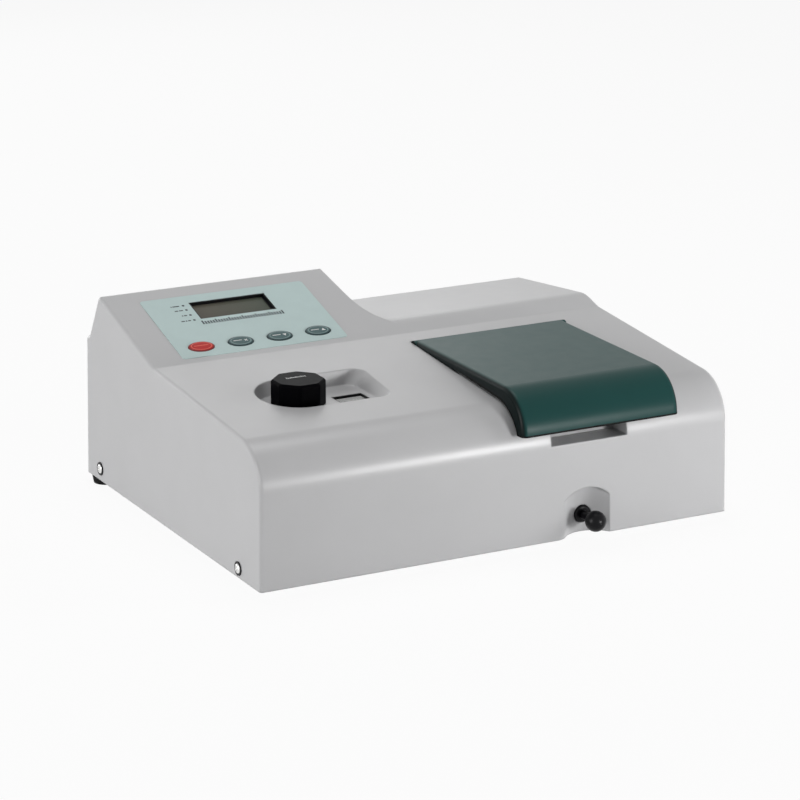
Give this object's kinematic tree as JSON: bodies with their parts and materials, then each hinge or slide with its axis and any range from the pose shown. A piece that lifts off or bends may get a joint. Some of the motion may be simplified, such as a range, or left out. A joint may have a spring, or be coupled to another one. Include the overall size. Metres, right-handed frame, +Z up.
{
  "type": "uv-vis spectrophotometer",
  "caption": "Bench spectrophotometer: moulded sloped case with key panel and display, wavelength knob in a recess, hinged sample lid and a pull rod for the cell carriage.",
  "frame": {"origin": "bottom centre of the instrument's bounding box, on the bench under its rubber feet", "axes": "+X along the width, to the right as the user faces the front; +Y from front to back; +Z up"},
  "size_m": [0.474, 0.3984, 0.1846],
  "materials": {
    "case_plastic": "moulded light grey, fine satin texture",
    "lid_plastic": "moulded dark teal, semi-gloss",
    "black_plastic": "moulded black, satin",
    "rubber": "black rubber",
    "foam": "black closed-cell foam",
    "zinc_steel": "zinc-plated steel",
    "membrane": "printed pale aqua film",
    "lcd_glass": "grey display glass",
    "key_red": "red key",
    "key_grey": "slate grey key",
    "led": "lamp epoxy",
    "circuit_board": "solder mask",
    "brass": "machined brass",
    "clear": "clear window",
    "cast_aluminium": "cast, grey",
    "black_anodised": "black anodised",
    "mirror": "aluminised front face",
    "lamp_glass": "quartz",
    "ceramic": "ceramic",
    "painted_steel": "painted sheet steel",
    "copper": "enamelled winding",
    "core_steel": "varnished laminations"
  },
  "bodies": {
    "instrument": {"top_case": "case_plastic", "base_plate": "zinc_steel", "rubber_feet": "rubber", "foot_screws": "zinc_steel", "side_screws": "zinc_steel", "side_screw_washers": "black_plastic", "lid_seal": "foam", "hinge_pins": "zinc_steel", "rod_bush": "black_plastic", "sample_compartment": "black_anodised", "compartment_floor": "black_anodised", "membrane_panel": "membrane", "lcd_bezel": "black_plastic", "lcd_glass": "lcd_glass", "mode_leds": "led", "display_board": "circuit_board", "knob_bush": "brass", "drive_plate": "cast_aluminium", "shaft_bushes": "brass", "window_lens": "clear", "monochromator_housing": "cast_aluminium", "monochromator_cover": "cast_aluminium", "collimating_mirror": "mirror", "fold_mirror": "mirror", "slit_blades": "black_anodised", "lamp_house": "painted_steel", "tungsten_lamp": "lamp_glass", "lamp_holder": "ceramic", "condenser_lens": "clear", "detector_box": "cast_aluminium", "photodiode": "circuit_board", "rear_panel": "painted_steel", "panel_screws": "zinc_steel", "power_inlet": "black_plastic", "rocker_frame": "black_plastic", "fuse_holder": "black_plastic", "data_socket": "zinc_steel", "main_board": "circuit_board", "transformer_core": "core_steel", "transformer_winding": "copper"},
    "lid": {"sample_lid": "lid_plastic"},
    "cell_slide": {"cell_carriage": "black_anodised", "pull_rod": "zinc_steel", "rod_knob": "black_plastic"},
    "dial": {"dial_gear": "brass", "wavelength_dial": "black_plastic", "dial_cam": "brass", "dial_spindle": "zinc_steel"},
    "knob": {"wavelength_knob": "black_plastic", "knob_shaft": "zinc_steel", "drive_pinion": "brass"},
    "grating_arm": {"grating_table": "black_anodised", "grating": "mirror", "follower_lever": "zinc_steel", "follower_roller": "brass"},
    "rocker": {"power_rocker": "black_plastic"},
    "key_1": {"key_1": "key_red"},
    "key_2": {"key_2": "key_grey"},
    "key_3": {"key_3": "key_grey"},
    "key_4": {"key_4": "key_grey"}
  },
  "joints": [
    {"name": "lid_hinge", "type": "hinge", "parent": "instrument", "child": "lid", "pos_m": [0.0965, 0.01575, 0.1428], "axis": [-1, 0, 0], "range_deg": [0, 80]},
    {"name": "cell_slide_pull", "type": "slide", "parent": "instrument", "child": "cell_slide", "axis": [0, -1, 0], "range_m": [0, 0.048]},
    {"name": "dial_turn", "type": "hinge", "parent": "instrument", "child": "dial", "pos_m": [-0.08445, -0.03377, 0.12], "axis": [0, 0, 1], "range_deg": [-135, 135]},
    {"name": "knob_turn", "type": "hinge", "parent": "instrument", "child": "knob", "pos_m": [-0.139, -0.05875, 0.1304], "axis": [0, 0, 1], "range_deg": [-540, 540]},
    {"name": "grating_turn", "type": "hinge", "parent": "instrument", "child": "grating_arm", "pos_m": [-0.05825, -0.09177, 0.046], "axis": [0, 0, 1], "range_deg": [-9, 9]},
    {"name": "rocker_tilt", "type": "hinge", "parent": "instrument", "child": "rocker", "pos_m": [0.137, 0.18925, 0.048], "axis": [1, 0, 0], "range_deg": [0, 22]},
    {"name": "key_1_press", "type": "slide", "parent": "instrument", "child": "key_1", "axis": [0, 0.289, -0.9573], "range_m": [0, 0.0008], "stiffness_N_per_m": 400, "springref_m": -0.0005},
    {"name": "key_2_press", "type": "slide", "parent": "instrument", "child": "key_2", "axis": [0, 0.289, -0.9573], "range_m": [0, 0.0008], "stiffness_N_per_m": 400, "springref_m": -0.0005},
    {"name": "key_3_press", "type": "slide", "parent": "instrument", "child": "key_3", "axis": [0, 0.289, -0.9573], "range_m": [0, 0.0008], "stiffness_N_per_m": 400, "springref_m": -0.0005},
    {"name": "key_4_press", "type": "slide", "parent": "instrument", "child": "key_4", "axis": [0, 0.289, -0.9573], "range_m": [0, 0.0008], "stiffness_N_per_m": 400, "springref_m": -0.0005}
  ],
  "couplings": [
    {"joint": "knob_turn", "follows": "dial_turn", "ratio": -4},
    {"joint": "grating_turn", "follows": "dial_turn", "ratio": 0.066667}
  ]
}
